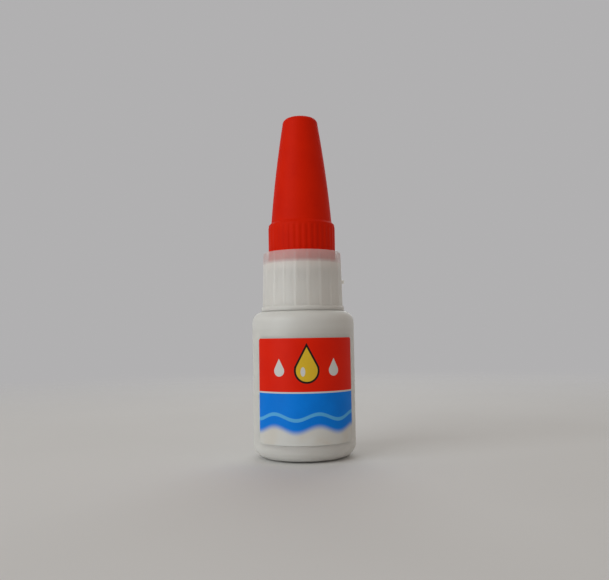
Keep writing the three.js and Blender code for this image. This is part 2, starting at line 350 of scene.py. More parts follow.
def add_ridges(piece, band, finish, sizes):
    """Raises ridges on a band of the piece. A size that isn't given is 0."""
    values = {"Band": band, "Finish": finish, **sizes}
    modifier = piece.modifiers.new(band, "NODES")
    modifier.node_group = RIDGES
    for item in RIDGES.interface.items_tree:
        if item.in_out == "INPUT" and item.name in values:
            value = values[item.name]
            modifier[item.identifier] = float(value) if isinstance(value, int) else value


THREAD_CREST = 0.12
THREAD_FLANK = 0.14
THREAD_RUN_OUT = 0.35


def add_thread(piece, band, finish, pitch, height, foot, top, shift=0):
    """A single right-hand thread, whose crest, flanks and run-out are shares of its pitch.

    A height below zero stands inwards from a bore.
    """
    sizes = {
        "Count": 1,
        "Twist": 1 / pitch,
        "Shift": shift,
        "Spacing": pitch,
        "Width": THREAD_CREST * pitch,
        "Flank": THREAD_FLANK * pitch,
        "Height": height,
        "Foot": foot,
        "Top": top,
        "Run-out": THREAD_RUN_OUT * pitch,
    }
    add_ridges(piece, band, finish, sizes)


CREASE_ANGLE = math.radians(38)


def settle(piece, finish):
    """Turns the modifiers' result into the piece's own plain mesh, smooth up to the crease angle."""
    bpy.context.view_layer.update()
    seen = piece.evaluated_get(bpy.context.evaluated_depsgraph_get())
    mesh = bpy.data.meshes.new_from_object(seen)
    piece.modifiers.clear()
    piece.data = mesh
    mesh.materials.clear()
    mesh.materials.append(finish)
    mesh.shade_smooth()
    mesh.set_sharp_from_angle(angle=CREASE_ANGLE)


bottle_finish = polyethylene("milky bottle", BOTTLE_PALE, BOTTLE_DEEP, BOTTLE_GLOW, FILL_LEVEL)
bottle = turned(
    "bottle",
    [
        (0, RING_Z + PUSH_UP_DEPTH, 0),
        (PUSH_UP_RADIUS / 2, RING_Z + PUSH_UP_DEPTH, PUSH_UP_ROUND),
        (PUSH_UP_RADIUS, RING_Z, STAND_RING_ROUND),
        (PAD_INNER - STAND_PAD_EDGE, RING_Z, 0),
        *straight((PAD_INNER, RING_Z), (PAD_OUTER, RING_Z), STAND_PAD_ROWS),
        (PAD_OUTER + STAND_PAD_EDGE, RING_Z, 0),
        (BODY_RADIUS, RING_Z, HEEL_ROUND),
        (BODY_RADIUS, BODY_HEIGHT, SHOULDER_ROUND),
        (NECK_RADIUS, BODY_HEIGHT, MOUTH_ROUND),
        *straight((NECK_RADIUS, NECK_THREAD_FOOT), (NECK_RADIUS, NECK_THREAD_TOP), NECK_THREAD_ROWS),
        (NECK_RADIUS, MOUTH_Z, MOUTH_ROUND),
        (MOUTH_BORE, MOUTH_Z, MOUTH_ROUND),
        (MOUTH_BORE, CEILING_Z, MOUTH_ROUND),
        (WALL_BORE, CEILING_Z, SHOULDER_ROUND - BODY_WALL),
        (WALL_BORE, BOTTOM_Z, HEEL_ROUND - BODY_WALL),
        (PUSH_UP_RADIUS, BOTTOM_Z, STAND_RING_ROUND),
        (PUSH_UP_RADIUS / 2, BOTTOM_Z + PUSH_UP_DEPTH, PUSH_UP_ROUND),
        (0, BOTTOM_Z + PUSH_UP_DEPTH, 0),
    ],
    BOTTLE_SIDES,
    {
        "stand_pads": lambda r, z: near(z, RING_Z) and PAD_INNER - SNUG < r < PAD_OUTER + SNUG,
        "neck_thread": lambda r, z: z > BODY_HEIGHT and r > NECK_RADIUS - NECK_WALL / 2,
    },
)
add_ridges(
    bottle,
    "stand_pads",
    bottle_finish,
    {
        "Count": STAND_PADS,
        "Spacing": math.pi * (PAD_INNER + PAD_OUTER) / STAND_PADS,
        "Width": STAND_PAD_WIDTH,
        "Flank": STAND_PAD_EDGE,
        "Height": STAND_PAD_HEIGHT,
        "Foot": RING_Z - STAND_PAD_ROOM,
        "Top": RING_Z + STAND_PAD_ROOM,
        "Run-out": STAND_PAD_EDGE,
        "Downward": 1,
    },
)
add_thread(
    bottle,
    "neck_thread",
    bottle_finish,
    NECK_THREAD_PITCH,
    NECK_THREAD_HEIGHT,
    NECK_THREAD_FOOT,
    NECK_THREAD_TOP,
)
settle(bottle, bottle_finish)
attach(bottle, "bottle")
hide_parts("bottle_body")


# Adhesive: a clear, thin liquid that fills the bottle to just below the shoulder.
# It wets the wall, so its top turns up in a narrow rim all round.
FILL_GAP = 0.0001
FILL_RADIUS = WALL_BORE - FILL_GAP
FILL_BOTTOM_Z = BOTTOM_Z + FILL_GAP
MENISCUS = 0.0003
FILL_SIDES = 128
ADHESIVE = (0.93, 0.93, 0.88)
ADHESIVE_DEEP = (0.90, 0.89, 0.80)

adhesive_finish, tree = new_finish("clear adhesive")
place = tree.add("ShaderNodeTexCoord", output="Object")
streak = tree.add("ShaderNodeTexNoise", sockets={"Vector": place, "Scale": 60, "Detail": 2})
liquid = tree.add(
    "ShaderNodeBsdfPrincipled",
    sockets={
        "Base Color": tree.mix(streak, ADHESIVE, ADHESIVE_DEEP),
        "Roughness": 0.02 + streak * 0.04,
        "IOR": 1.45,
        "Transmission Weight": 0.85,
    },
)
tree.add("ShaderNodeOutputMaterial", sockets={"Surface": liquid})

adhesive = turned(
    "adhesive",
    [
        (0, FILL_BOTTOM_Z + PUSH_UP_DEPTH, 0),
        (PUSH_UP_RADIUS / 2, FILL_BOTTOM_Z + PUSH_UP_DEPTH, PUSH_UP_ROUND),
        (PUSH_UP_RADIUS, FILL_BOTTOM_Z, STAND_RING_ROUND),
        (FILL_RADIUS, FILL_BOTTOM_Z, HEEL_ROUND - BODY_WALL - FILL_GAP),
        (FILL_RADIUS, FILL_LEVEL, 0),
        (FILL_RADIUS - MENISCUS / 4, FILL_LEVEL, 0),
        (FILL_RADIUS - MENISCUS, FILL_LEVEL - MENISCUS, MENISCUS),
        (0, FILL_LEVEL - MENISCUS, 0),
    ],
    FILL_SIDES,
)
settle(adhesive, adhesive_finish)
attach(adhesive, "bottle")
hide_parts("adhesive_fill")


# Label: a printed white film with round corners, stuck round the front of the bottle.
# Three plain drops on a red field, over a blue field that ends in waves above a pale foot.
LABEL_LOW, LABEL_HIGH = (corner.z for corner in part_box("front_label"))
LABEL_HEIGHT = LABEL_HIGH - LABEL_LOW
LABEL_WIDTH = 0.0264
LABEL_CORNER = 0.0010
LABEL_GAP = 0.00002
LABEL_THICKNESS = 0.00006
LABEL_RADIUS = BODY_RADIUS + LABEL_GAP
LABEL_TURN = math.radians(3.4)
LABEL_ROWS = 48
LABEL_COLUMNS = 72
CORNER_STEPS = 8
PRINT_BLUR = 0.00004
FILM_EDGE = 0.00012
FIELD_LINE = 0.0120
FIELD_LINE_WIDTH = 0.00022
LINE_CORE = 0.6
WAVE_COUNT = 2.5
WAVE_HEIGHT = 0.0007
WAVE_FOOT = 0.0026
WAVE_TOP = 0.0044
STRIPE_UP = 0.0064
STRIPE_WIDTH = 0.0005
DROP_UP = 0.0170
DROP_TALL = 2.15
DROP_RADIUS = 0.0025
DROP_OUTLINE = 0.0005
SHINE_LEFT = 0.36 * DROP_RADIUS
SHINE_DOWN = 0.10 * DROP_RADIUS
SHINE_NARROW = 2
SHINE_RADIUS = 0.46 * DROP_RADIUS
SHINE_CORE = 0.40 * DROP_RADIUS
SIDE_DROP_RADIUS = 0.0013
SIDE_DROP_ACROSS = 0.0066
LABEL_RED = (0.78, 0.016, 0.001)
LABEL_RED_DEEP = (0.72, 0.012, 0.001)
LABEL_BLUE = (0.001, 0.215, 0.82)
LABEL_BLUE_DEEP = (0.001, 0.185, 0.73)
LABEL_SKY = (0.10, 0.42, 0.80)
LABEL_WHITE = (0.65, 0.65, 0.63)
LABEL_FOOT_TINT = (0.63, 0.60, 0.55)
DROP_YELLOW = (0.72, 0.47, 0.03)
DROP_DARK = (0.012, 0.011, 0.010)

label_finish, tree = new_finish("printed label film")
spot = tree.add("ShaderNodeUVMap", {"uv_map": "label"})
across = tree.add("ShaderNodeSeparateXYZ", sockets={0: spot}, output="X")
up = across.out("Y")
place = tree.add("ShaderNodeTexCoord", output="Object")
cloud = tree.add("ShaderNodeTexNoise", sockets={"Vector": place, "Scale": 170, "Detail": 3})
grain = tree.add("ShaderNodeTexNoise", sockets={"Vector": place, "Scale": 3800, "Detail": 2})


def drop(along, radius):
    """How far a spot lies outside a drop: a ball with two straight sides that meet above it."""
    slant = math.asin(1 / DROP_TALL)
    above = up - DROP_UP
    ball = (along * along + above * above).math("SQRT") - radius
    sides = along.size() * math.cos(slant) + above * math.sin(slant) - radius
    return ball.least(sides.most(radius * math.sin(slant) - above))


ink = cloud.step(0.3, 0.7) * 0.7 + grain * 0.3
red = tree.mix(ink, LABEL_RED, LABEL_RED_DEEP)
blue = tree.mix(ink, LABEL_BLUE, LABEL_BLUE_DEEP)
pale_foot = tree.mix(cloud.step(0.4, 0.75), LABEL_WHITE, LABEL_FOOT_TINT)
wave = (across * (2 * math.pi * WAVE_COUNT / LABEL_WIDTH)).math("SINE") * WAVE_HEIGHT
from_stripe = (up - wave - STRIPE_UP).size()
from_line = (up - FIELD_LINE).size()
side_drops = drop(across.size() - SIDE_DROP_ACROSS, SIDE_DROP_RADIUS)
main_drop = drop(across, DROP_RADIUS)
shine_across = (across + SHINE_LEFT) * SHINE_NARROW
shine_up = up - DROP_UP + SHINE_DOWN
from_shine = (shine_across * shine_across + shine_up * shine_up).math("SQRT")
from_edge = (LABEL_WIDTH / 2 - across.size()).least(up.least(LABEL_HEIGHT - up))
printed = (
    ((up - wave).step(WAVE_FOOT, WAVE_TOP), blue),
    (from_stripe.step(STRIPE_WIDTH, STRIPE_WIDTH * LINE_CORE), LABEL_SKY),
    (up.step(FIELD_LINE - PRINT_BLUR, FIELD_LINE + PRINT_BLUR), red),
    (from_line.step(FIELD_LINE_WIDTH, FIELD_LINE_WIDTH * LINE_CORE), LABEL_WHITE),
    (side_drops.step(PRINT_BLUR, -PRINT_BLUR), LABEL_WHITE),
    (main_drop.step(DROP_OUTLINE, DROP_OUTLINE - 2 * PRINT_BLUR), DROP_DARK),
    (main_drop.step(PRINT_BLUR, -PRINT_BLUR), DROP_YELLOW),
    (from_shine.step(SHINE_RADIUS, SHINE_CORE), LABEL_WHITE),
    (from_edge.step(FILM_EDGE, FILM_EDGE / 2), LABEL_WHITE),
)
print_colour = pale_foot
for share, colour in printed:
    print_colour = tree.mix(share, print_colour, colour)
relief = tree.add(
    "ShaderNodeBump",
    sockets={"Strength": 0.15, "Distance": 0.00005, "Height": cloud * 0.7 + grain * 0.2},
    output="Normal",
)
film = tree.add(
    "ShaderNodeBsdfPrincipled",
    sockets={
        "Base Color": print_colour,
        "Roughness": 0.34 + grain * 0.16,
        "Specular IOR Level": 0.10,
        "Normal": relief,
    },
)
tree.add("ShaderNodeOutputMaterial", sockets={"Surface": film})

bends = [math.pi / 2 * k / CORNER_STEPS for k in range(CORNER_STEPS)]
margin = [(LABEL_CORNER * (1 - math.cos(bend)), LABEL_CORNER * (1 - math.sin(bend))) for bend in bends]
inner_width = LABEL_WIDTH - 2 * LABEL_CORNER
columns = [(-LABEL_WIDTH / 2 + inset, cut) for inset, cut in margin]
columns += [(inner_width * (k / LABEL_COLUMNS - 0.5), 0) for k in range(LABEL_COLUMNS + 1)]
columns += [(LABEL_WIDTH / 2 - inset, cut) for inset, cut in reversed(margin)]
points, spots, faces = [], [], []
for along, cut in columns:
    angle = along / LABEL_RADIUS + LABEL_TURN
    x, y = LABEL_RADIUS * math.sin(angle), -LABEL_RADIUS * math.cos(angle)
    for row in range(LABEL_ROWS + 1):
        height = cut + (LABEL_HEIGHT - 2 * cut) * row / LABEL_ROWS
        points.append((x, y, LABEL_LOW + height))
        spots.append((along, height))
for column in range(len(columns) - 1):
    for row in range(LABEL_ROWS):
        first = column * (LABEL_ROWS + 1) + row
        beside = first + LABEL_ROWS + 1
        faces.append((first, beside, beside + 1, first + 1))
mesh = bpy.data.meshes.new("label")
mesh.from_pydata(points, [], faces)
uv = mesh.uv_layers.new(name="label")
for loop in mesh.loops:
    uv.data[loop.index].uv = spots[loop.vertex_index]
label = placed("label", mesh)
film_build = label.modifiers.new("film", "SOLIDIFY")
film_build.thickness = LABEL_THICKNESS
film_build.offset = 1
settle(label, label_finish)
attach(label, "bottle")
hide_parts("front_label")


# Seal: a flat ring punched from soft foamed polyethylene.
# The nozzle's deck presses it on the bottle's mouth, and it stays in the collar.
SEAL_LOW, SEAL_HIGH = (corner.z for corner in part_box("neck_seal"))
SEAL_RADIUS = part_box("neck_seal")[1].x
SEAL_BORE = 0.0064
SEAL_ROUND = 0.0001
SEAL_SIDES = 128
SEAL_PALE = (0.74, 0.73, 0.69)
SEAL_DEEP = (0.62, 0.61, 0.57)

seal_finish, tree = new_finish("foamed seal")
place = tree.add("ShaderNodeTexCoord", output="Object")
cells = tree.add("ShaderNodeTexVoronoi", sockets={"Vector": place, "Scale": 3200})
relief = tree.add(
    "ShaderNodeBump",
    sockets={"Strength": 0.5, "Distance": 0.0001, "Height": cells},
    output="Normal",
)
foam = tree.add(
    "ShaderNodeBsdfPrincipled",
    sockets={
        "Base Color": tree.mix(cells.step(0.1, 0.7), SEAL_DEEP, SEAL_PALE),
        "Roughness": 0.72 + cells * 0.2,
        "Normal": relief,
    },
)
tree.add("ShaderNodeOutputMaterial", sockets={"Surface": foam})

seal = turned(
    "seal",
    [
        (SEAL_BORE, SEAL_LOW, SEAL_ROUND),
        (SEAL_RADIUS, SEAL_LOW, SEAL_ROUND),
        (SEAL_RADIUS, SEAL_HIGH, SEAL_ROUND),
        (SEAL_BORE, SEAL_HIGH, SEAL_ROUND),
    ],
    SEAL_SIDES,
)
settle(seal, seal_finish)
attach(seal, "seal")
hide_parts("neck_seal")


# Nozzle: one moulding of the same milky polyethylene. A ribbed screw collar, a guard rim round
# the cap's foot, a plug in the bottle's mouth, a threaded post for the cap and a long spout.
# The collar screws down over the bottle's neck, and a gate stub stands on its right side.
NOZZLE_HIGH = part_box("nozzle")[1].z
SEAT_GAP = 0.00003
NOZZLE_LOW = BODY_HEIGHT + SEAT_GAP
DECK_UNDER_Z = 0.0455
DECK_TOP_Z = 0.0467
EDGE_ROUND = 0.0002
THREAD_ROOM = 0.0010
COLLAR_BORE = NECK_RADIUS + THREAD_ROOM
COLLAR_FOOT_RADIUS = COLLAR_BORE + 0.0012
COLLAR_ROWS = 10
FOOT_RING_RADIUS = COLLAR_FOOT_RADIUS + 0.0004
FOOT_RING_TOP_Z = NOZZLE_LOW + 0.0011
FOOT_RING_EDGE = EDGE_ROUND / 6
GUARD_BORE = 0.00868
GUARD_RADIUS = GUARD_BORE + 0.0008
GUARD_TOP_Z = 0.0498
RIM_FOOT_Z = DECK_TOP_Z + 0.0002
RIM_FOOT_RADIUS = GUARD_RADIUS + 0.0001
RIM_ROWS = 8
ROW_INSET = 0.0003
COLLAR_RIBS = 20
COLLAR_RIB_WIDTH = 0.0004
COLLAR_RIB_FLANK = 0.0003
COLLAR_RIB_HEIGHT = 0.00010
COLLAR_RIB_RUN_OUT = 0.0003
COLLAR_RIB_LAP = 0.00005
COLLAR_RIB_TOP = GUARD_TOP_Z - 0.0001
COLLAR_RIB_SIDES = 20
COLLAR_THREAD_FOOT = NOZZLE_LOW + 0.0012
COLLAR_THREAD_TOP = DECK_UNDER_Z - 0.0015
PLUG_RADIUS = MOUTH_BORE - 0.0002
PLUG_LOW_Z = 0.0425
THROAT_RADIUS = PLUG_RADIUS - 0.0014
THROAT_TOP_Z = 0.0509
POST_RADIUS = THROAT_RADIUS + 0.0013
POST_TOP_Z = 0.0522
POST_THREAD_PITCH = 0.0025
POST_THREAD_HEIGHT = 0.0006
POST_THREAD_FOOT = DECK_TOP_Z + 0.0006
POST_THREAD_TOP = POST_TOP_Z - 0.0003
THREAD_ROWS = 30
BETWEEN_TURNS = 0.5
SPOUT_ROOT_Z = 0.0535
SPOUT_ROOT_RADIUS = POST_RADIUS - 0.0016
SPOUT_ROOT_BORE = SPOUT_ROOT_RADIUS - 0.0013
SPOUT_TIP_RADIUS = 0.0013
SPOUT_TIP_BORE = 0.0006
SPOUT_FLANK_LOW = (SPOUT_ROOT_RADIUS - 0.0002, SPOUT_ROOT_Z + 0.0016)
SPOUT_FLANK_HIGH = (SPOUT_TIP_RADIUS + 0.0001, NOZZLE_HIGH - 0.0009)
SPOUT_ROWS = 14
TIP_ROUND = 0.00025
GATE_RADIUS = 0.0005
GATE_Z = DECK_UNDER_Z - 0.0030
GATE_ROOT = COLLAR_BORE + 0.0004
GATE_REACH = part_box("nozzle")[1].x
GATE_BEVEL = 0.0002
GATE_ROUND = 0.0001
GATE_LIP = 0.7 * GATE_RADIUS
GATE_DIMPLE = 0.3 * GATE_RADIUS
GATE_DIMPLE_EDGE = 0.00012
GATE_DIMPLE_DEPTH = 0.00016
GATE_SIDES = 24
NOZZLE_PALE = (0.77, 0.745, 0.70)
NOZZLE_DEEP = (0.73, 0.70, 0.655)
NOZZLE_GLOW = 0.0050
# The thin guard rim's pale pink is painted light: it stands in for the cap's red light glowing through
# the milky wall, and it is lighter than the moulding to make up for the shade in the slot round the
# cap's foot.
RIM_PAINTED_PINK_GLOW = (0.95, 0.84, 0.81)
RIM_FADE = (RIM_FOOT_Z - 0.0005, RIM_FOOT_Z + 0.0010)
RIM_COVER = 0.51
RIM_BORE_COVER = 0.05
RIM_BORE_LAP = 0.0001
FACING_IN = -0.2

nozzle_finish = polyethylene("milky nozzle", NOZZLE_PALE, NOZZLE_DEEP, NOZZLE_GLOW)
rim_finish, rim_bore_finish = (
    polyethylene(name, NOZZLE_PALE, NOZZLE_DEEP, NOZZLE_GLOW, thin=(*RIM_FADE, RIM_PAINTED_PINK_GLOW, cover))
    for name, cover in (("thin guard rim", RIM_COVER), ("thin guard rim, inside", RIM_BORE_COVER))
)
nozzle = turned(
    "nozzle_moulding",
    [
        (COLLAR_BORE, NOZZLE_LOW, EDGE_ROUND),
        (FOOT_RING_RADIUS, NOZZLE_LOW, FOOT_RING_EDGE),
        (FOOT_RING_RADIUS, FOOT_RING_TOP_Z, EDGE_ROUND),
        (COLLAR_FOOT_RADIUS, FOOT_RING_TOP_Z, EDGE_ROUND / 2),
        *straight(
            (COLLAR_FOOT_RADIUS, FOOT_RING_TOP_Z + ROW_INSET),
            (RIM_FOOT_RADIUS, RIM_FOOT_Z),
            COLLAR_ROWS,
        ),
        *straight(
            (RIM_FOOT_RADIUS, RIM_FOOT_Z),
            (GUARD_RADIUS, GUARD_TOP_Z - ROW_INSET),
            RIM_ROWS,
        )[1:],
        (GUARD_RADIUS, GUARD_TOP_Z, EDGE_ROUND),
        (GUARD_BORE, GUARD_TOP_Z, EDGE_ROUND),
        (GUARD_BORE, DECK_TOP_Z, EDGE_ROUND),
        (POST_RADIUS, DECK_TOP_Z, EDGE_ROUND),
        *straight((POST_RADIUS, POST_THREAD_FOOT), (POST_RADIUS, POST_THREAD_TOP), THREAD_ROWS),
        (POST_RADIUS, POST_TOP_Z, EDGE_ROUND),
        (SPOUT_ROOT_RADIUS, SPOUT_ROOT_Z, EDGE_ROUND),
        *straight(SPOUT_FLANK_LOW, SPOUT_FLANK_HIGH, SPOUT_ROWS),
        (SPOUT_TIP_RADIUS, NOZZLE_HIGH, TIP_ROUND),
        (SPOUT_TIP_BORE, NOZZLE_HIGH, TIP_ROUND / 2),
        (SPOUT_ROOT_BORE, SPOUT_ROOT_Z, EDGE_ROUND),
        (THROAT_RADIUS, THROAT_TOP_Z, EDGE_ROUND),
        (THROAT_RADIUS, PLUG_LOW_Z, EDGE_ROUND),
        (PLUG_RADIUS, PLUG_LOW_Z, 2 * EDGE_ROUND),
        (PLUG_RADIUS, DECK_UNDER_Z, EDGE_ROUND),
        (COLLAR_BORE, DECK_UNDER_Z, EDGE_ROUND),
        *straight((COLLAR_BORE, COLLAR_THREAD_TOP), (COLLAR_BORE, COLLAR_THREAD_FOOT), THREAD_ROWS),
    ],
    COLLAR_RIBS * COLLAR_RIB_SIDES,
    {
        "collar_ribs": lambda r, z: (
            r > (GUARD_BORE + GUARD_RADIUS) / 2 and z > FOOT_RING_TOP_Z - COLLAR_RIB_LAP
        ),
        "post_thread": lambda r, z: DECK_TOP_Z < z < POST_TOP_Z and near(r, POST_RADIUS),
        "collar_thread": lambda r, z: z < DECK_UNDER_Z and near(r, COLLAR_BORE),
    },
)
add_ridges(
    nozzle,
    "collar_ribs",
    nozzle_finish,
    {
        "Count": COLLAR_RIBS,
        "Spacing": 2 * math.pi * GUARD_RADIUS / COLLAR_RIBS,
        "Width": COLLAR_RIB_WIDTH,
        "Flank": COLLAR_RIB_FLANK,
        "Height": COLLAR_RIB_HEIGHT,
        "Foot": FOOT_RING_TOP_Z - COLLAR_RIB_RUN_OUT,
        "Top": COLLAR_RIB_TOP,
        "Run-out": COLLAR_RIB_RUN_OUT,
    },
)
add_thread(
    nozzle,
    "post_thread",
    nozzle_finish,
    POST_THREAD_PITCH,
    POST_THREAD_HEIGHT,
    POST_THREAD_FOOT,
    POST_THREAD_TOP,
)
add_thread(
    nozzle,
    "collar_thread",
    nozzle_finish,
    NECK_THREAD_PITCH,
    -NECK_THREAD_HEIGHT,
    COLLAR_THREAD_FOOT,
    COLLAR_THREAD_TOP,
    BETWEEN_TURNS,
)

stub = turned(
    "gate_stub",
    [
        (0, GATE_ROOT, 0),
        (GATE_RADIUS, GATE_ROOT, 0),
        (GATE_RADIUS, GATE_REACH - GATE_BEVEL, GATE_ROUND),
        (GATE_LIP, GATE_REACH, GATE_ROUND),
        (GATE_DIMPLE, GATE_REACH - GATE_DIMPLE_EDGE, 0),
        (0, GATE_REACH - GATE_DIMPLE_DEPTH, 0),
    ],
    GATE_SIDES,
)
settle(stub, nozzle_finish)
stub.data.transform(Matrix.Translation((0, 0, GATE_Z)) @ Matrix.Rotation(math.pi / 2, 4, "Y"))
join = nozzle.modifiers.new("gate", "BOOLEAN")
join.operation = "UNION"
join.solver = "MANIFOLD"
join.object = stub
settle(nozzle, nozzle_finish)
bpy.data.objects.remove(stub)

nozzle.data.materials.append(rim_finish)
nozzle.data.materials.append(rim_bore_finish)
WHOLE_WALL, RIM, RIM_BORE = range(3)
for face in nozzle.data.polygons:
    outwards = face.center.xy.normalized()
    in_rim = face.center.z > RIM_FADE[0] and face.center.xy.length > GUARD_BORE - RIM_BORE_LAP
    face.material_index = WHOLE_WALL
    if in_rim:
        face.material_index = RIM_BORE if face.normal.xy.dot(outwards) < FACING_IN else RIM
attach(nozzle, "nozzle")
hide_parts("nozzle")


# Pin: a short length of drawn steel wire with a ground point.
# It is pressed into the cap's boss and keeps the spout's bore open while the cap is on.
PIN_LOW, PIN_HIGH = (corner.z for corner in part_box("cap_pin"))
PIN_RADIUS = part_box("cap_pin")[1].x
PIN_POINT = 0.0008
PIN_ROUND = 0.00005
PIN_SIDES = 48
STEEL = (0.56, 0.57, 0.58)
STEEL_DEEP = (0.42, 0.43, 0.45)

steel_finish, tree = new_finish("drawn steel")
place = tree.add("ShaderNodeTexCoord", output="Object")
drawn = tree.add("ShaderNodeMapping", sockets={"Vector": place, "Scale": (9000, 9000, 260)})
scratch = tree.add("ShaderNodeTexNoise", sockets={"Vector": drawn, "Scale": 1, "Detail": 3})
relief = tree.add(
    "ShaderNodeBump",
    sockets={"Strength": 0.3, "Distance": 0.00002, "Height": scratch},
    output="Normal",
)
steel = tree.add(
    "ShaderNodeBsdfPrincipled",
    sockets={
        "Base Color": tree.mix(scratch.step(0.3, 0.7), STEEL_DEEP, STEEL),
        "Metallic": 1.0,
        "Roughness": 0.18 + scratch * 0.22,
        "Normal": relief,
    },
)
tree.add("ShaderNodeOutputMaterial", sockets={"Surface": steel})

pin = turned(
    "pin",
    [
        (0, PIN_LOW, 0),
        (PIN_RADIUS, PIN_LOW + PIN_POINT, PIN_ROUND),
        (PIN_RADIUS, PIN_HIGH, PIN_ROUND),
        (0, PIN_HIGH, 0),
    ],
    PIN_SIDES,
)
settle(pin, steel_finish)
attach(pin, "pin")
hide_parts("cap_pin")


# Cap: moulded in one piece from red plastic. A finely ribbed skirt with a thread inside, a long
# hollow cone with a slight belly, and a rounded crown with a boss inside that holds the pin.
# It screws down on the nozzle's post, with its foot inside the guard rim.
CAP_LOW, CAP_HIGH = (corner.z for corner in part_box("cap"))
CAP_WALL = 0.0011
SKIRT_BORE = POST_RADIUS + THREAD_ROOM
SKIRT_RADIUS = SKIRT_BORE + 0.0010
SKIRT_TOP_Z = CAP_LOW + 0.0097
SKIRT_STEP = 0.00065
SKIRT_RIBS = 36
SKIRT_RIB_WIDTH = 0.0005
SKIRT_RIB_FLANK = 0.00025
SKIRT_RIB_HEIGHT = 0.00008
SKIRT_RIB_LOW = CAP_LOW + 0.0004
SKIRT_RIB_HIGH = SKIRT_TOP_Z - 0.0004
SKIRT_RIB_RUN_OUT = 0.0003
SKIRT_RIB_END = 0.0006
SKIRT_RIB_ROWS = 4
SKIRT_RIB_SIDES = 16
CAP_THREAD_FOOT = CAP_LOW + 0.0004
CAP_THREAD_TOP = CAP_LOW + 0.0062
CROWN_HEIGHT = 0.00175
CROWN_FLAT = 0.0022
CROWN_STEPS = 10
CONE_ROOT = SKIRT_RADIUS - SKIRT_STEP
CONE_ROOT_Z = SKIRT_TOP_Z + SKIRT_STEP
CONE_FLANK_LOW = (CONE_ROOT - 0.00008, CONE_ROOT_Z + 0.0007)
CONE_TIP = 0.00445
CONE_TIP_Z = CAP_HIGH - CROWN_HEIGHT
BELLY = (CONE_ROOT + CONE_TIP) / 2 + 0.00049
BELLY_Z = (CONE_ROOT_Z + CONE_TIP_Z) / 2
CONE_ROWS = 22
ROOF_Z = CAP_HIGH - 0.0016
BOSS_RADIUS = 0.00131
BOSS_LOW_Z = ROOF_Z - 0.0023
PIN_HOLE = PIN_RADIUS + 0.00006
PIN_HOLE_TOP_Z = CAP_HIGH - 0.0009
CAP_RED = (0.68, 0.014, 0.001)
CAP_RED_DEEP = (0.62, 0.011, 0.001)

cap_finish, tree = new_finish("red cap plastic")
place = tree.add("ShaderNodeTexCoord", output="Object")
cloud = tree.add("ShaderNodeTexNoise", sockets={"Vector": place, "Scale": 130, "Detail": 3})
grain = tree.add("ShaderNodeTexNoise", sockets={"Vector": place, "Scale": 2200, "Detail": 3})
pulled = tree.add("ShaderNodeMapping", sockets={"Vector": place, "Scale": (2600, 2600, 60)})
drag = tree.add("ShaderNodeTexNoise", sockets={"Vector": pulled, "Scale": 1, "Detail": 2})
bumps = cloud * 0.5 + grain * 0.3 + drag * 0.25
relief = tree.add(
    "ShaderNodeBump",
    sockets={"Strength": 0.3, "Distance": 0.00008, "Height": bumps},
    output="Normal",
)
red_plastic = tree.add(
    "ShaderNodeBsdfPrincipled",
    sockets={
        "Base Color": tree.mix(cloud.step(0.35, 0.7), CAP_RED, CAP_RED_DEEP),
        "Roughness": 0.46 + grain * 0.14,
        "Specular IOR Level": 0.05,
        "Normal": relief,
    },
)
tree.add("ShaderNodeOutputMaterial", sockets={"Surface": red_plastic})


def bowed(start, pull, end, rows):
    """Plain corners on the curve from start to end that leans towards pull."""
    first, lean, last = (Vector(point) for point in (start, pull, end))
    spans = [k / rows for k in range(rows + 1)]
    return [(*first.lerp(lean, t).lerp(lean.lerp(last, t), t), 0) for t in spans]


cap = turned(
    "cap_moulding",
    [
        (0, PIN_HOLE_TOP_Z, 0),
        (PIN_HOLE, PIN_HOLE_TOP_Z, 0),
        (PIN_HOLE, BOSS_LOW_Z, 0),
        (BOSS_RADIUS, BOSS_LOW_Z, EDGE_ROUND),
        (BOSS_RADIUS, ROOF_Z, EDGE_ROUND),
        *bowed(
            (CONE_TIP - CAP_WALL, ROOF_Z),
            (BELLY - CAP_WALL, BELLY_Z),
            (CONE_ROOT - CAP_WALL, CONE_ROOT_Z),
            CONE_ROWS,
        ),
        (SKIRT_BORE, CONE_ROOT_Z - CAP_WALL, EDGE_ROUND),
        *straight((SKIRT_BORE, CAP_THREAD_TOP), (SKIRT_BORE, CAP_THREAD_FOOT), THREAD_ROWS),
        (SKIRT_BORE, CAP_LOW, EDGE_ROUND / 2),
        (SKIRT_RADIUS, CAP_LOW, EDGE_ROUND),
        *straight(
            (SKIRT_RADIUS, SKIRT_RIB_LOW),
            (SKIRT_RADIUS, SKIRT_RIB_LOW + SKIRT_RIB_END),
            SKIRT_RIB_ROWS,
        ),
        *straight(
            (SKIRT_RADIUS, SKIRT_RIB_HIGH - SKIRT_RIB_END),
            (SKIRT_RADIUS, SKIRT_RIB_HIGH),
            SKIRT_RIB_ROWS,
        ),
        (SKIRT_RADIUS, SKIRT_TOP_Z, EDGE_ROUND),
        (CONE_ROOT, CONE_ROOT_Z, EDGE_ROUND),
        *bowed(CONE_FLANK_LOW, (BELLY, BELLY_Z), (CONE_TIP, CONE_TIP_Z), CONE_ROWS),
        *bowed((CONE_TIP, CONE_TIP_Z), (CONE_TIP, CAP_HIGH), (CROWN_FLAT, CAP_HIGH), CROWN_STEPS)[1:],
        (0, CAP_HIGH, 0),
    ],
    SKIRT_RIBS * SKIRT_RIB_SIDES,
    {
        "skirt_ribs": lambda r, z: z < SKIRT_TOP_Z and r > SKIRT_RADIUS - SNUG,
        "cap_thread": lambda r, z: z < SKIRT_TOP_Z and near(r, SKIRT_BORE),
    },
)
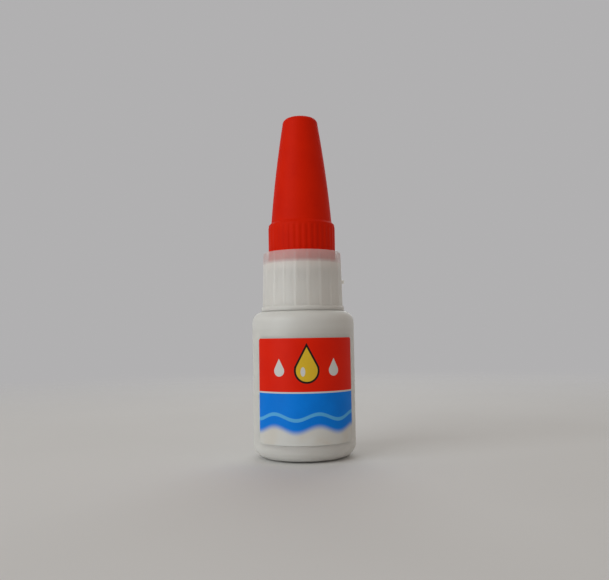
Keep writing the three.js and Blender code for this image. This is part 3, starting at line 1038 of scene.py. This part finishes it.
add_ridges(
    cap,
    "skirt_ribs",
    cap_finish,
    {
        "Count": SKIRT_RIBS,
        "Spacing": 2 * math.pi * SKIRT_RADIUS / SKIRT_RIBS,
        "Width": SKIRT_RIB_WIDTH,
        "Flank": SKIRT_RIB_FLANK,
        "Height": SKIRT_RIB_HEIGHT,
        "Foot": SKIRT_RIB_LOW,
        "Top": SKIRT_RIB_HIGH,
        "Run-out": SKIRT_RIB_RUN_OUT,
    },
)
add_thread(
    cap,
    "cap_thread",
    cap_finish,
    POST_THREAD_PITCH,
    -POST_THREAD_HEIGHT,
    CAP_THREAD_FOOT,
    CAP_THREAD_TOP,
    BETWEEN_TURNS,
)
settle(cap, cap_finish)
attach(cap, "cap")
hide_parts("cap")


# Floor: a plain, faintly cloudy pale table top for the bottle to stand on.
# It thins out with distance, so that it runs into the background with no edge.
FLOOR_RADIUS = 0.9
FLOOR_SIDES = 96
FADE_START = 0.05
FADE_END = 0.45
FLOOR_PALE = (0.70, 0.69, 0.69)
FLOOR_DEEP = (0.66, 0.65, 0.65)

floor_finish, tree = new_finish("pale table top")
place = tree.add("ShaderNodeTexCoord", output="Object")
cloud = tree.add("ShaderNodeTexNoise", sockets={"Vector": place, "Scale": 14, "Detail": 3})
away = tree.add("ShaderNodeVectorMath", {"operation": "LENGTH"}, {0: place}, "Value")
table_top = tree.add(
    "ShaderNodeBsdfPrincipled",
    sockets={
        "Base Color": tree.mix(cloud, FLOOR_PALE, FLOOR_DEEP),
        "Roughness": 0.75 + cloud * 0.1,
        "Alpha": away.step(FADE_END, FADE_START),
    },
)
tree.add("ShaderNodeOutputMaterial", sockets={"Surface": table_top})
angles = [2 * math.pi * k / FLOOR_SIDES for k in range(FLOOR_SIDES)]
rim = [(FLOOR_RADIUS * math.cos(angle), FLOOR_RADIUS * math.sin(angle), 0) for angle in angles]
mesh = bpy.data.meshes.new("floor")
mesh.from_pydata(rim, [], [range(FLOOR_SIDES)])
mesh.materials.append(floor_finish)
placed("floor", mesh)


# Light: even, warm light from all round, and two large soft lamps with a cool tint.
# The stronger lamp stands at the front left and the other behind, both higher than the cap.
ROOM_LIGHT = (1.0, 0.915, 0.82)
ROOM_LEVEL = 0.40
BACKGROUND = (0.44, 0.435, 0.44)
LAMP_AIM = Vector((0, 0, 0.04))
LAMP_SIZE = 0.5
LAMP_COLOUR = (0.91, 0.98, 1.0)
LAMP_PLACE = Vector((-0.46, -0.38, 0.26))
LAMP_WATTS = 2.0
BACK_LAMP_PLACE = Vector((0.06, 0.56, 0.36))
BACK_LAMP_WATTS = 1.0

world = bpy.data.worlds.new("room")
world.use_nodes = True
world.node_tree.nodes.clear()
tree = Tree(world.node_tree)
ray = tree.add("ShaderNodeLightPath", output="Is Camera Ray")
seen = ray.most(ray.out("Is Glossy Ray")).most(ray.out("Is Transmission Ray"))
room = tree.add("ShaderNodeBackground", sockets={"Color": (*ROOM_LIGHT, 1), "Strength": ROOM_LEVEL})
behind = tree.add("ShaderNodeBackground", sockets={"Color": (*BACKGROUND, 1), "Strength": 1})
both = tree.add("ShaderNodeMixShader", sockets={0: seen, 1: room, 2: behind})
tree.add("ShaderNodeOutputWorld", sockets={"Surface": both})
bpy.context.scene.world = world

lamps = {"lamp": (LAMP_PLACE, LAMP_WATTS), "back lamp": (BACK_LAMP_PLACE, BACK_LAMP_WATTS)}
for name, (spot, watts) in lamps.items():
    lamp = bpy.data.lights.new(name, "AREA")
    lamp.size = LAMP_SIZE
    lamp.energy = watts
    lamp.color = LAMP_COLOUR
    lamp_stand = bpy.data.objects.new(name, lamp)
    lamp_stand.location = spot
    lamp_stand.rotation_euler = (LAMP_AIM - spot).to_track_quat("-Z", "Y").to_euler()
    bpy.context.scene.collection.objects.link(lamp_stand)


# Camera: square on to the label, a hand's length away, leaning a little as in the photograph.
# Its focal length is given in pixels of the photograph, which is 609 of them wide.
PHOTO_WIDTH = 609
FOCAL_PIXELS = 685
SENSOR_WIDTH = 36
NEAREST = 0.005
EYE = Vector((0.0005, -0.170, 0.0290))
PITCH = math.radians(3.93)
ROLL = math.radians(0.9)

level = Matrix.Rotation(math.pi / 2 + PITCH, 4, "X")
camera = bpy.data.cameras.new("camera")
camera.sensor_width = SENSOR_WIDTH
camera.lens = SENSOR_WIDTH * FOCAL_PIXELS / PHOTO_WIDTH
camera.clip_start = NEAREST
stand = bpy.data.objects.new("camera", camera)
stand.matrix_world = Matrix.Translation(EYE) @ level @ Matrix.Rotation(-ROLL, 4, "Z")
bpy.context.scene.collection.objects.link(stand)
bpy.context.scene.camera = stand
bpy.context.scene.view_settings.view_transform = "Standard"
